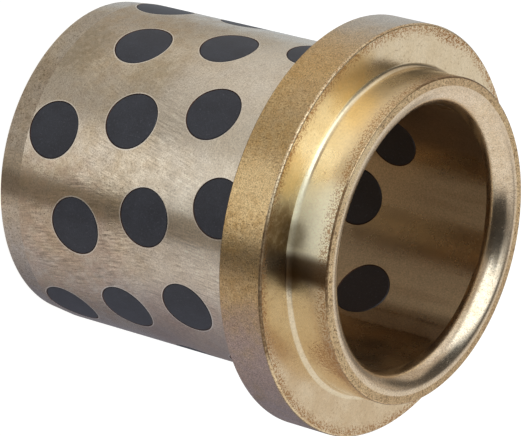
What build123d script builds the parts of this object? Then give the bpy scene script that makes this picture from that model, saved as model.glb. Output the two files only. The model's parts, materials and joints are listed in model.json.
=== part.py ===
"""Flanged guide bushing of bronze with graphite plugs.

The bushing is one turned bronze body with a collar and a short locating spigot. Its wall
is drilled right through in rings, each turned on from the one below, and every hole holds
a graphite plug that is finished flush with the body outside and with the bore inside.

Sizes are in millimetres. The axis is +Z, the origin is the centre of the plain end, and
the spigot points up. The first plug of the first ring lies on +X.
"""

import os
from math import cos, radians, sin

from build123d import *

# Turned body
bore_diameter = 32.0  # runs on the guide pillar
wall = 4.0  # bronze round the bore
body_length = 38.0  # plain end to the back of the collar
collar_step = 5.0  # the collar stands this far out of the body
collar_thickness = 6.0
spigot_step = 0.25  # the spigot is this much under the body, all round
spigot_length = 5.5

# Lead-ins
taper_length = 3.4  # press-in taper at the plain end
taper_drop = 0.35  # radius lost along the taper
mouth_radius = 2.1  # rounded entry of the bore, at the spigot
exit_bevel = 1.0  # bevel of the bore at the plain end

# Broken edges and the root of the spigot
end_edge = 0.25
collar_back_edge = 0.15
collar_front_edge = 0.4
spigot_edge = 0.3
root_bevel = 0.5  # left standing where the spigot meets the collar

# Graphite plugs
plug_diameter = 7.0
plugs_per_ring = 5
ring_count = 6
ring_turn = 31.15  # degrees from one ring to the next
plain_margin = 3.5  # bronze between the plain end and the first ring
collar_margin = 1.25  # bronze between the last ring and the collar

# What follows from these
bore_radius = bore_diameter / 2
body_radius = bore_radius + wall
collar_radius = body_radius + collar_step
spigot_radius = body_radius - spigot_step
rim_radius = body_radius - taper_drop
collar_front = body_length + collar_thickness
spigot_front = collar_front + spigot_length
mouth = min(mouth_radius, 0.7 * wall)  # the wall limits the rounded entry
plug_radius = plug_diameter / 2
plug_blank = wall + 2 * plug_radius  # reaches past the wall on both sides before turning
first_ring = plain_margin + plug_radius
last_ring = body_length - collar_margin - plug_radius
ring_pitch = (last_ring - first_ring) / (ring_count - 1)


def plug_seat(ring: int, place: int) -> Plane:
    """The plane inside the bore from which one plug reaches outwards."""
    angle = radians(ring * ring_turn + place * 360 / plugs_per_ring)
    outwards = Vector(cos(angle), sin(angle), 0)
    foot = outwards * (bore_radius - plug_radius) + Vector(0, 0, first_ring + ring * ring_pitch)
    return Plane(origin=foot, x_dir=(0, 0, 1), z_dir=outwards)


places = [(ring, place) for ring in range(ring_count) for place in range(plugs_per_ring)]

# The whole turning, before it is drilled
with BuildPart() as turning:
    with BuildSketch(Plane.XZ) as half_section:
        with BuildLine():
            Polyline(
                (bore_radius, 0),
                (rim_radius, 0),
                (body_radius, taper_length),
                (body_radius, body_length),
                (collar_radius, body_length),
                (collar_radius, collar_front),
                (spigot_radius, collar_front),
                (spigot_radius, spigot_front),
                (bore_radius, spigot_front),
                close=True,
            )
        make_face()

        def corner(radius: float, height: float) -> Vertex:
            """The corner of the half section at this radius and height."""
            return half_section.vertices().sort_by_distance((radius, height))[0]

        chamfer(corner(bore_radius, 0), exit_bevel)
        chamfer(corner(rim_radius, 0), end_edge)
        chamfer(corner(collar_radius, body_length), collar_back_edge)
        chamfer(corner(collar_radius, collar_front), collar_front_edge)
        chamfer(corner(spigot_radius, collar_front), root_bevel)
        chamfer(corner(spigot_radius, spigot_front), spigot_edge)
        fillet(corner(bore_radius, spigot_front), mouth)
    revolve(axis=Axis.Z)

# The bronze body, drilled for the plugs
with BuildPart() as bushing_body:
    add(turning)
    with BuildSketch(*[plug_seat(ring, place) for ring, place in places]):
        Circle(plug_radius)
    extrude(amount=plug_blank, mode=Mode.SUBTRACT)
bushing_body.part.label = "bushing_body"

os.makedirs("parts", exist_ok=True)
export_step(bushing_body.part, "parts/bushing_body.step")

# The graphite plugs, turned flush together with the body
for ring, place in places:
    with BuildPart() as graphite_plug:
        with BuildSketch(plug_seat(ring, place)):
            Circle(plug_radius)
        extrude(amount=plug_blank)
        add(turning, mode=Mode.INTERSECT)
    name = f"graphite_plug_{ring + 1}_{place + 1}"
    graphite_plug.part.label = name
    export_step(graphite_plug.part, f"parts/{name}.step")
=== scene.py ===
"""Looks of a flanged guide bushing: a bronze turning with graphite plugs through its wall.

The axis is +Z, the plain end stands on the floor and the spigot points up. Lengths of shapes
are in metres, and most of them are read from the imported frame. Lengths of finishes are in
millimetres. Angles are in radians, unless a docstring says degrees.
"""

import json
import logging
import math
from collections.abc import Callable
from dataclasses import dataclass, field, replace
from enum import Enum, IntEnum

import bmesh
import bpy
import numpy as np
from mathutils import Matrix, Vector
from mathutils.geometry import delaunay_2d_cdt


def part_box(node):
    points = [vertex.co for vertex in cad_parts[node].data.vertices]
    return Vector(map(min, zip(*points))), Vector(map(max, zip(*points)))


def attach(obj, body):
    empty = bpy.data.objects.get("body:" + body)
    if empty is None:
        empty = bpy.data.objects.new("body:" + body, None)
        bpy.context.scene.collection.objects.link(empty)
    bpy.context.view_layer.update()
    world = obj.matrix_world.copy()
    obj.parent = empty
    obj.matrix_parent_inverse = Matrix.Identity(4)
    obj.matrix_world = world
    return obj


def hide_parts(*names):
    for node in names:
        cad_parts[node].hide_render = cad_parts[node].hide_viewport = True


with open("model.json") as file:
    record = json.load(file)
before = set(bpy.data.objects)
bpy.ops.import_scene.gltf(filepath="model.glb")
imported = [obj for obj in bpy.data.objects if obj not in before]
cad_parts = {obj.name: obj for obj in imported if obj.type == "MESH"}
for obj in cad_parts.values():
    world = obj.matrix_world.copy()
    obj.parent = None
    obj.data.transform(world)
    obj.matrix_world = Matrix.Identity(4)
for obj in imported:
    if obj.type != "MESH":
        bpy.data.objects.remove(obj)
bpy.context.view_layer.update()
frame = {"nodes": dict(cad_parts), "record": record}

Colour = tuple[float, float, float]
Paint = tuple[int, int, int]
Socket = bpy.types.NodeSocket
Sockets = bpy.types.NodeOutputs
Feed = Socket | float | int | tuple
Feeds = dict[str | int, Feed]
Point = tuple[float, float]

MM = 0.001
BODY = "root"
BODY_NODE = "bushing_body"
PLUG_NODE = "graphite_plug_{ring}_{place}"
UP = Vector((0, 0, 1))

log = logging.getLogger("bushing")


def linear(paint: Paint) -> Colour:
    """The linear colour of a paint given from 0 to 255."""
    return tuple(
        c / 12.92 if c <= 0.04045 else ((c + 0.055) / 1.055) ** 2.4
        for c in (part / 255 for part in paint)
    )


def heading(azimuth: float, elevation: float) -> Vector:
    """The unit vector towards an azimuth from +X to +Y and an elevation, in degrees."""
    a, e = math.radians(azimuth), math.radians(elevation)
    return Vector((math.cos(a) * math.cos(e), math.sin(a) * math.cos(e), math.sin(e)))


# ---------------------------------------------------------------- nodes


@dataclass
class NodeBench:
    """Adds nodes to one tree and joins them."""

    tree: bpy.types.NodeTree

    def add(self, kind: str, feeds: Feeds | None = None, **settings: object) -> bpy.types.Node:
        """Adds a node.

        Args:
            kind: The node's type.
            feeds: A value or a socket for each input, by name or number.
            settings: The node's own properties.

        Returns:
            The node.
        """
        node = self.tree.nodes.new(kind)
        for name, value in settings.items():
            setattr(node, name, value)
        for key, value in (feeds or {}).items():
            self.feed(node.inputs[key], value)
        return node

    def feed(self, socket: Socket, value: Feed) -> None:
        """Joins a socket to another, or sets its value.

        Args:
            socket: The input.
            value: A socket, a number, a vector or a colour.
        """
        if isinstance(value, Socket):
            self.tree.links.new(value, socket)
        elif socket.type == "RGBA" and len(value) == 3:
            socket.default_value = (*value, 1.0)
        else:
            socket.default_value = value

    def sum(self, operation: str, *values: Feed) -> Socket:
        """The result of one Math node."""
        return self.add("ShaderNodeMath", dict(enumerate(values)), operation=operation).outputs[0]

    def vector(self, operation: str, *values: Feed, out: str = "Vector") -> Socket:
        """The result of one Vector Math node."""
        feeds = dict(enumerate(values))
        return self.add("ShaderNodeVectorMath", feeds, operation=operation).outputs[out]

    def fade(self, value: Feed, low: Feed, high: Feed, down: bool = False) -> Socket:
        """A smooth step between low and high, from 0 up to 1 or from 1 down to 0."""
        feeds = {"Value": value, "From Min": low, "From Max": high}
        feeds |= {"To Min": float(down), "To Max": float(not down)}
        return self.add("ShaderNodeMapRange", feeds, interpolation_type="SMOOTHSTEP").outputs[0]

    def within(self, away: Socket, reach: Feed, fade: Feed) -> Socket:
        """1 up to a reach, and 0 once the fade past it is over."""
        return self.fade(away, reach, self.sum("ADD", reach, fade), down=True)

    def blend(self, share: Feed, first: Feed, second: Feed) -> Socket:
        """Two colours mixed by a share of the second."""
        feeds = {0: share, 6: first, 7: second}
        return self.add("ShaderNodeMix", feeds, data_type="RGBA", clamp_factor=True).outputs[2]

    def brighten(self, tone: Feed, brightness: Feed) -> Socket:
        """A colour times a brightness."""
        feeds = {"Color": tone, "Value": brightness}
        return self.add("ShaderNodeHueSaturation", feeds).outputs[0]

    def group(self, tree: bpy.types.NodeTree, feeds: Feeds) -> Sockets:
        """What a shared shader group gives, placed with its own values."""
        return self.add("ShaderNodeGroup", feeds, node_tree=tree).outputs

    def bump(self, height: Socket, depth: float, normal: Socket | None = None) -> Socket:
        """A normal bent by a height of a depth in millimetres, on top of another."""
        feeds = {"Strength": 1.0, "Distance": depth * MM, "Height": height}
        return self.add("ShaderNodeBump", feeds | ({"Normal": normal} if normal else {})).outputs[0]

    def noise(self, place: Feed, scale: Feed, detail: float, rough: float) -> Socket:
        """A noise of about 0 to 1."""
        feeds = {"Vector": place, "Scale": scale, "Detail": detail, "Roughness": rough}
        return self.add("ShaderNodeTexNoise", feeds).outputs["Fac"]


SOCKET_KINDS = {"VALUE": "Float", "VECTOR": "Vector", "GEOMETRY": "Geometry"}
Filling = Callable[[NodeBench, Sockets], Feeds]


def sockets(short: str, *names: str) -> dict[str, str]:
    """Names of inputs that share one short type of socket."""
    return dict.fromkeys(names, short)


def new_group(
    name: str, inputs: dict[str, str], fill: Filling, kind: str = "ShaderNodeTree"
) -> bpy.types.NodeTree:
    """Makes a node group.

    Args:
        name: The group's name.
        inputs: Each input's name and its socket's short type.
        fill: Adds the inner nodes and tells what each output carries.
        kind: The tree's type.

    Returns:
        The group.
    """
    tree = bpy.data.node_groups.new(name, kind)
    for label, short in inputs.items():
        tree.interface.new_socket(label, in_out="INPUT", socket_type=f"NodeSocket{short}")
    bench = NodeBench(tree)
    results = fill(bench, bench.add("NodeGroupInput").outputs)
    for label, result in results.items():
        short = SOCKET_KINDS[result.type]
        tree.interface.new_socket(label, in_out="OUTPUT", socket_type=f"NodeSocket{short}")
    bench.add("NodeGroupOutput", results)
    return tree


@dataclass
class SharedEffects:
    """Shader groups that more than one finish uses, each built once."""

    fleck_offset: tuple[float, float, float] = (0.37, 0.11, 0.23)  # away from the grain's noise
    fleck_scale: float = 0.8  # how closely they lie, as a share of the grain's closeness
    fleck_fade: float = 0.1  # how soft their rims are
    fleck_pit: float = -0.5  # how high they stand, as a share of the grain's depth

    def __post_init__(self) -> None:
        """Builds every group."""
        place = sockets("Vector", "Position")
        soft = sockets("Float", "Reach", "Fade")
        blotch = place | sockets("Float", "Size", "Level", "Fade")
        grain = place | sockets("Float", "Size", "Swing", "Fleck level")
        across = sockets("Float", "Value", "Middle") | soft
        round_point = place | sockets("Vector", "Centre") | soft
        towards = place | sockets("Vector", "Towards") | sockets("Float", "Near", "Far")
        helix = place | sockets("Vector", "Frequency") | sockets("Float", "Twist")
        self.turned_place = new_group("turned place", place, self._turned_place)
        self.clouds = new_group("clouds", blotch, self._clouds)
        self.grain = new_group("metal grain", grain, self._grain)
        marks = sockets("Vector", "Place", "Frequency")
        self.tool_marks = new_group("tool marks", marks, self._tool_marks)
        self.band = new_group("soft band", across, self._band)
        self.spot = new_group("soft spot", round_point, self._spot)
        self.streak = new_group("soft streak", towards, self._streak)
        self.scratches = new_group("fine scratches", helix, self._scratches)

    def _turned_place(self, bench: NodeBench, entry: Sockets) -> Feeds:
        """Where a point lies on a turning.

        Args:
            bench: The group's bench.
            entry: What the group is given.

        Returns:
            Radius, height, and a ring vector whose X runs along the half section.
        """
        parts = bench.add("ShaderNodeSeparateXYZ", {0: entry["Position"]}).outputs
        flat = bench.vector("MULTIPLY", entry["Position"], (1.0, 1.0, 0.0))
        radius = bench.vector("LENGTH", flat, out="Value")
        along = bench.sum("ADD", radius, parts["Z"])
        round_x, round_y = (bench.sum("DIVIDE", parts[name], radius) for name in ("X", "Y"))
        ring = bench.add("ShaderNodeCombineXYZ", {0: along, 1: round_x, 2: round_y}).outputs[0]
        return {"Radius": radius, "Height": parts["Z"], "Ring": ring}

    def _clouds(self, bench: NodeBench, entry: Sockets) -> Feeds:
        """Soft blotches, more of them the lower the level.

        Args:
            bench: The group's bench.
            entry: What the group is given.

        Returns:
            Their mask.
        """
        scale = bench.sum("DIVIDE", 1.0, entry["Size"])
        cloud = bench.noise(entry["Position"], scale, detail=4.0, rough=0.6)
        low = bench.sum("SUBTRACT", entry["Level"], entry["Fade"])
        high = bench.sum("ADD", entry["Level"], entry["Fade"])
        return {"Mask": bench.fade(cloud, low, high)}

    def _grain(self, bench: NodeBench, entry: Sockets) -> Feeds:
        """The grain of the cast metal, with dark flecks that are pits.

        Args:
            bench: The group's bench.
            entry: What the group is given.

        Returns:
            A brightness round 1, the flecks' mask and the height.
        """
        scale = bench.sum("DIVIDE", 1.0, entry["Size"])
        fine = bench.noise(entry["Position"], scale, detail=3.0, rough=0.7)
        swing = bench.sum("MULTIPLY", bench.sum("SUBTRACT", fine, 0.5), entry["Swing"])
        elsewhere = bench.vector("ADD", entry["Position"], self.fleck_offset)
        scale = bench.sum("MULTIPLY", scale, self.fleck_scale)
        coarse = bench.noise(elsewhere, scale, detail=2.0, rough=0.7)
        high = bench.sum("ADD", entry["Fleck level"], self.fleck_fade)
        fleck = bench.fade(coarse, entry["Fleck level"], high)
        height = bench.sum("MULTIPLY_ADD", fleck, self.fleck_pit, fine)
        return {"Brightness": bench.sum("ADD", swing, 1.0), "Fleck": fleck, "Height": height}

    def _tool_marks(self, bench: NodeBench, entry: Sockets) -> Feeds:
        """Fine lines left by the tool: a noise squeezed along its first axes.

        Args:
            bench: The group's bench.
            entry: What the group is given.

        Returns:
            Their height.
        """
        place = bench.vector("MULTIPLY", entry["Place"], entry["Frequency"])
        return {"Height": bench.noise(place, 1.0, detail=3.0, rough=0.6)}

    def _band(self, bench: NodeBench, entry: Sockets) -> Feeds:
        """A soft band round a value.

        Args:
            bench: The group's bench.
            entry: What the group is given.

        Returns:
            Its mask.
        """
        away = bench.sum("ABSOLUTE", bench.sum("SUBTRACT", entry["Value"], entry["Middle"]))
        return {"Mask": bench.within(away, entry["Reach"], entry["Fade"])}

    def _spot(self, bench: NodeBench, entry: Sockets) -> Feeds:
        """A spot with a soft rim round a point.

        Args:
            bench: The group's bench.
            entry: What the group is given.

        Returns:
            Its mask.
        """
        away = bench.vector("DISTANCE", entry["Position"], entry["Centre"], out="Value")
        return {"Mask": bench.within(away, entry["Reach"], entry["Fade"])}

    def _streak(self, bench: NodeBench, entry: Sockets) -> Feeds:
        """A streak along the axis, from the cosines of its half widths.

        Args:
            bench: The group's bench.
            entry: What the group is given.

        Returns:
            Its mask.
        """
        flat = bench.vector("MULTIPLY", entry["Position"], (1.0, 1.0, 0.0))
        out = bench.vector("NORMALIZE", flat)
        near = bench.vector("DOT_PRODUCT", out, entry["Towards"], out="Value")
        return {"Mask": bench.fade(near, entry["Far"], entry["Near"])}

    def _scratches(self, bench: NodeBench, entry: Sockets) -> Feeds:
        """Short scratches up a helix: a noise stretched along it.

        Args:
            bench: The group's bench.
            entry: What the group is given.

        Returns:
            The lines, as a value round 0.
        """
        height = bench.add("ShaderNodeSeparateXYZ", {0: entry["Position"]}).outputs["Z"]
        angle = bench.sum("MULTIPLY", height, entry["Twist"])
        feeds = {"Vector": entry["Position"], "Angle": angle}
        turned = bench.add("ShaderNodeVectorRotate", feeds, rotation_type="Z_AXIS").outputs[0]
        place = bench.vector("MULTIPLY", turned, entry["Frequency"])
        lines = bench.noise(place, 1.0, detail=2.0, rough=0.6)
        return {"Line": bench.sum("SUBTRACT", lines, 0.5)}


# ---------------------------------------------------------------- finishes

LAP_RADIUS = 20 * MM  # where lengths round the axis are counted
EVEN_LEVEL = 0.5  # the level at which clouds cover half of a skin
RIM_THINNING = 0.35  # how much higher that level is at the rim of a tarnish or a painted patch of light or shade
CLOUD_ROUGHNESS = 0.05  # how much rougher the clouds are than the rest
STAIN_AND_PAINT_ROUGHNESS = 0.15  # the same for flecks, tarnish and painted light and shade


class Lay(Enum):
    """How the fine lines of a finish run."""

    ROUND = "round the axis, from turning"
    ALONG = "along the axis, from grinding"


class Across(Enum):
    """What a band is measured across."""

    RADIUS = "Radius"
    HEIGHT = "Height"


@dataclass(frozen=True)
class Place:
    """Where a point of the part lies, as sockets of one material."""

    bench: NodeBench
    effects: SharedEffects
    position: Socket
    turned: Sockets

    def clouds(
        self, size: float, level: Feed, fade: float, position: Socket | None = None
    ) -> Socket:
        """The mask of soft blotches.

        Args:
            size: Their size, in millimetres.
            level: How few there are, from 0 to 1.
            fade: How soft their rims are.
            position: Where they are read, if not at the point itself.

        Returns:
            The mask.
        """
        feeds = {"Position": position or self.position, "Size": size * MM}
        feeds |= {"Level": level, "Fade": fade}
        return self.bench.group(self.effects.clouds, feeds)["Mask"]


@dataclass(frozen=True)
class Band:
    """A band round the part, at a radius or a height."""

    across: Across
    middle: float
    reach: float
    fade: float

    def mask(self, place: Place) -> Socket:
        """1 in the band and 0 away from it."""
        feeds = {"Value": place.turned[self.across.value], "Middle": self.middle * MM,
                 "Reach": self.reach * MM, "Fade": self.fade * MM}
        return place.bench.group(place.effects.band, feeds)["Mask"]


@dataclass(frozen=True)
class Spot:
    """A spot on the part, at an azimuth in degrees, a radius and a height."""

    azimuth: float
    radius: float
    height: float
    reach: float
    fade: float

    def mask(self, place: Place) -> Socket:
        """1 in the spot and 0 away from it."""
        out = heading(self.azimuth, 0.0) * (self.radius * MM)
        feeds = {"Position": place.position, "Centre": (out.x, out.y, self.height * MM),
                 "Reach": self.reach * MM, "Fade": self.fade * MM}
        return place.bench.group(place.effects.spot, feeds)["Mask"]


@dataclass(frozen=True)
class Streak:
    """A streak along the axis, its azimuth, reach and fade in degrees."""

    azimuth: float
    reach: float
    fade: float

    def mask(self, place: Place) -> Socket:
        """1 in the streak and 0 away from it."""
        feeds = {"Position": place.position, "Towards": tuple(heading(self.azimuth, 0.0)),
                 "Near": math.cos(math.radians(self.reach)),
                 "Far": math.cos(math.radians(self.reach + self.fade))}
        return place.bench.group(place.effects.streak, feeds)["Mask"]


Area = Band | Spot | Streak


@dataclass(frozen=True)
class TarnishAndPaintedLight:
    """Tarnish on part of a skin, and light and shade painted on it too, broken into grains or
    clouds.

    Attributes:
        where: The part of the skin.
        tint: Its own colour.
        amount: The share of the skin's colour that it hides at most.
        grain: The size of its grains or clouds.
        level: How broken it is: hardly at 0.1, and down to single grains at 0.5.
        crisp: How soft the rims of the grains are.
        dull: How much of the metal's shine it takes.
        stretch: How many times longer than wide the grains are.
    """

    where: Area
    tint: Paint
    amount: float
    grain: float = 0.3
    level: float = 0.5
    crisp: float = 0.06
    dull: float = 0.0
    stretch: float = 1.0

    def share(self, place: Place) -> Socket:
        """How much of the skin it hides at a point.

        Args:
            place: The point.

        Returns:
            The share, from 0 to 1.
        """
        bench = place.bench
        mask = self.where.mask(place)
        squeezed = bench.vector("MULTIPLY", place.position, (1.0, 1.0, 1.0 / self.stretch))
        level = bench.sum("MULTIPLY_ADD", mask, -RIM_THINNING, self.level + RIM_THINNING)
        broken = place.clouds(self.grain, level, self.crisp, squeezed)
        return bench.sum("MULTIPLY", bench.sum("MULTIPLY", broken, mask), self.amount)


@dataclass(frozen=True)
class Scratches:
    """A patch of fine scratches.

    Attributes:
        where: The part of the skin.
        slant: How far they lean from the axis, in degrees.
        swing: How much they change the brightness.
        pitch: From one to the next.
        length: How long one is.
        patch: The size of the bunches that they lie in.
        patch_level: How few bunches there are.
        patch_fade: How soft the bunches' rims are.
    """

    where: Area
    slant: float
    swing: float
    pitch: float = 0.22
    length: float = 1.8
    patch: float = 4.0
    patch_level: float = 0.46
    patch_fade: float = 0.12

    def brightness(self, place: Place) -> Socket:
        """What the lines multiply the skin's brightness by.

        Args:
            place: The point.

        Returns:
            A factor round 1.
        """
        bench = place.bench
        broken = place.clouds(self.patch, self.patch_level, self.patch_fade)
        share = bench.sum("MULTIPLY", broken, self.where.mask(place))
        twist = math.tan(math.radians(self.slant)) / LAP_RADIUS
        across, along = 1 / (self.pitch * MM), 1 / (self.length * MM)
        feeds = {"Position": place.position, "Twist": twist, "Frequency": (across, across, along)}
        line = bench.group(place.effects.scratches, feeds)["Line"]
        return bench.sum("MULTIPLY_ADD", bench.sum("MULTIPLY", line, share), self.swing, 1.0)


@dataclass(frozen=True, kw_only=True)
class Finish:
    """What every finish has: a tone and its clouds, grain, flecks and a roughness."""

    name: str
    tone: Paint
    shade: Paint
    fleck: Paint
    roughness: float
    cloud_size: float = 3.0
    cloud_fade: float = 0.16
    grain_size: float = 0.3
    grain_swing: float = 0.5
    grain_depth: float = 0.005
    fleck_level: float = 0.6

    def material(self, effects: SharedEffects) -> bpy.types.Material:
        """Builds the material.

        Args:
            effects: The shared shader groups.

        Returns:
            The material.
        """
        made = bpy.data.materials.new(self.name)
        made.use_nodes = True
        made.node_tree.nodes.clear()
        bench = NodeBench(made.node_tree)
        position = bench.add("ShaderNodeTexCoord").outputs["Object"]
        turned = bench.group(effects.turned_place, {"Position": position})
        grain = bench.group(
            effects.grain,
            {"Position": position, "Size": self.grain_size * MM, "Swing": self.grain_swing,
             "Fleck level": self.fleck_level},
        )
        feeds = self._dress(Place(bench, effects, position, turned), grain)
        shader = bench.add("ShaderNodeBsdfPrincipled", feeds)
        bench.add("ShaderNodeOutputMaterial", {"Surface": shader.outputs[0]})
        return made

    def _dress(self, place: Place, grain: Sockets) -> Feeds:
        """What the shader is fed with, which each kind of finish works out in its own way."""
        raise NotImplementedError


@dataclass(frozen=True, kw_only=True)
class BronzeFinish(Finish):
    """One finish of the turned bronze."""

    bloom: Paint
    cloud_amount: float = 0.6
    bloom_size: float = 9.0
    bloom_fade: float = 0.12
    bloom_amount: float = 0.5
    bloom_offset: tuple[float, float, float] = (0.13, 0.29, 0.41)
    fleck_amount: float = 0.4
    lay: Lay = Lay.ROUND
    mark_pitch: float = 0.12
    mark_length: float = 3.0
    mark_depth: float = 0.003
    wave_size: float = 5.0
    wave_length: float = 14.0
    wave_depth: float = 0.008
    # real tarnish, and also light and shade painted into the colour
    tarnish_and_painted_light: tuple[TarnishAndPaintedLight, ...] = ()
    scratches: tuple[Scratches, ...] = ()

    def _dress(self, place: Place, grain: Sockets) -> Feeds:
        """The clouds, the flecks, the tarnish and painted light and shade, and then the scratches
        in the metal.

        Args:
            place: The point.
            grain: What the grain group gives.

        Returns:
            What the shader is fed with.
        """
        bench = place.bench
        clouds = place.clouds(self.cloud_size, EVEN_LEVEL, self.cloud_fade)
        aside = bench.vector("ADD", place.position, self.bloom_offset)
        bloom = place.clouds(self.bloom_size, EVEN_LEVEL, self.bloom_fade, aside)
        fleck = bench.sum("MULTIPLY", grain["Fleck"], self.fleck_amount)
        tone = linear(self.tone)
        for share, tint in (
            (bench.sum("MULTIPLY", clouds, self.cloud_amount), self.shade),
            (bench.sum("MULTIPLY", bloom, self.bloom_amount), self.bloom),
            (fleck, self.fleck),
        ):
            tone = bench.blend(share, tone, linear(tint))
        smoothest = self.roughness - CLOUD_ROUGHNESS / 2
        rough = bench.sum("MULTIPLY_ADD", clouds, CLOUD_ROUGHNESS, smoothest)
        rough = bench.sum("MULTIPLY_ADD", fleck, STAIN_AND_PAINT_ROUGHNESS, rough)
        metal = 1.0
        for tarnish_and_painted_light in self.tarnish_and_painted_light:
            share = tarnish_and_painted_light.share(place)
            tone = bench.blend(share, tone, linear(tarnish_and_painted_light.tint))
            rough = bench.sum("MULTIPLY_ADD", share, STAIN_AND_PAINT_ROUGHNESS, rough)
            if tarnish_and_painted_light.dull:
                bare = bench.sum("MULTIPLY_ADD", share, -tarnish_and_painted_light.dull, 1.0)
                metal = bench.sum("MULTIPLY", metal, bare)
        bright = grain["Brightness"]
        for patch in self.scratches:
            bright = bench.sum("MULTIPLY", bright, patch.brightness(place))
        return {
            "Base Color": bench.brighten(tone, bright),
            "Metallic": metal,
            "Roughness": rough,
            "Normal": self._relief(place, grain["Height"]),
        }

    def _relief(self, place: Place, grain: Socket) -> Socket:
        """Slow waves, then tool marks, then grain, each on the one before.

        Args:
            place: The point.
            grain: The grain's height.

        Returns:
            The bent normal.
        """
        bench = place.bench
        source = place.position if self.lay is Lay.ALONG else place.turned["Ring"]
        normal = None
        for fine, long, depth in (
            (self.wave_size * MM, self.wave_length * MM, self.wave_depth),
            (self.mark_pitch * MM, self.mark_length * MM, self.mark_depth),
        ):
            if self.lay is Lay.ALONG:
                frequency = (1 / fine, 1 / fine, 1 / long)
            else:
                frequency = (1 / fine, LAP_RADIUS / long, LAP_RADIUS / long)
            feeds = {"Place": source, "Frequency": frequency}
            height = bench.group(place.effects.tool_marks, feeds)["Height"]
            normal = bench.bump(height, depth, normal)
        return bench.bump(grain, self.grain_depth, normal)


@dataclass(frozen=True, kw_only=True)
class GraphiteFinish(Finish):
    """Pressed graphite, turned flush, with painted shade on its end in the bore."""

    fleck_amount: float = 0.5
    fleck_roughness: float = 0.12
    bore_end_shade: Paint
    shaded_bore_end: Band

    def _dress(self, place: Place, grain: Sockets) -> Feeds:
        """The clouds, the painted shade on the end in the bore and the bright flecks in the
        graphite.

        Args:
            place: The point.
            grain: What the grain group gives.

        Returns:
            What the shader is fed with.
        """
        bench = place.bench
        tone = linear(self.tone)
        for share, tint in (
            (place.clouds(self.cloud_size, EVEN_LEVEL, self.cloud_fade), self.shade),
            (self.shaded_bore_end.mask(place), self.bore_end_shade),
            (bench.sum("MULTIPLY", grain["Fleck"], self.fleck_amount), self.fleck),
        ):
            tone = bench.blend(share, tone, linear(tint))
        fleck = grain["Fleck"]
        return {
            "Base Color": bench.brighten(tone, grain["Brightness"]),
            "Roughness": bench.sum("MULTIPLY_ADD", fleck, self.fleck_roughness, self.roughness),
            "Normal": bench.bump(grain["Height"], self.grain_depth),
        }


# ---------------------------------------------------------------- the turned body


class Skin(IntEnum):
    """The skins of the turning, each with its own finish."""

    GROUND = 0
    TAPER = 1
    PLAIN_END = 2
    COLLAR_BACK = 3
    COLLAR_RIM = 4
    COLLAR_FACE = 5
    SPIGOT = 6
    END_FACE = 7
    MOUTH = 8
    BORE = 9
    EDGE = 10
    BACK_EDGE = 11
    SPIGOT_EDGE = 12
    HOLE_EDGE = 13
    HOLE_RING = 14


@dataclass(frozen=True)
class Hole:
    """A drilled hole that a plug fills."""

    angle: float
    height: float


@dataclass
class Patch:
    """Part of a skin: its points, the way they face, and triangles on them."""

    points: np.ndarray
    facing: np.ndarray
    triangles: np.ndarray
    skin: Skin


@dataclass
class Pattern:
    """The rings of plugs: each ring is turned on from the one below."""

    rings: int
    plugs_per_ring: int
    plug_radius: float
    first_ring: float
    ring_pitch: float
    ring_turn: float

    @classmethod
    def from_frame(cls) -> "Pattern":
        """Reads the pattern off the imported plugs.

        Returns:
            The pattern.
        """
        names = [n for n in frame["nodes"] if n.startswith(PLUG_NODE.split("{")[0])]
        rings = max(int(n.split("_")[-2]) for n in names)
        first, second, last = (
            np.array([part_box(PLUG_NODE.format(ring=r, place=1))]).reshape(2, 3)
            for r in (1, 2, rings)
        )
        middle = second.mean(axis=0)
        return cls(
            rings=rings,
            plugs_per_ring=len(names) // rings,
            plug_radius=(first[1, 2] - first[0, 2]) / 2,
            first_ring=first[:, 2].mean(),
            ring_pitch=(last[:, 2].mean() - first[:, 2].mean()) / (rings - 1),
            ring_turn=math.atan2(middle[1], middle[0]),
        )

    def holes(self) -> list[Hole]:
        """Every hole, ring by ring."""
        step = 2 * math.pi / self.plugs_per_ring
        return [
            Hole(ring * self.ring_turn + place * step, self.first_ring + ring * self.ring_pitch)
            for ring in range(self.rings)
            for place in range(self.plugs_per_ring)
        ]


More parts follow.
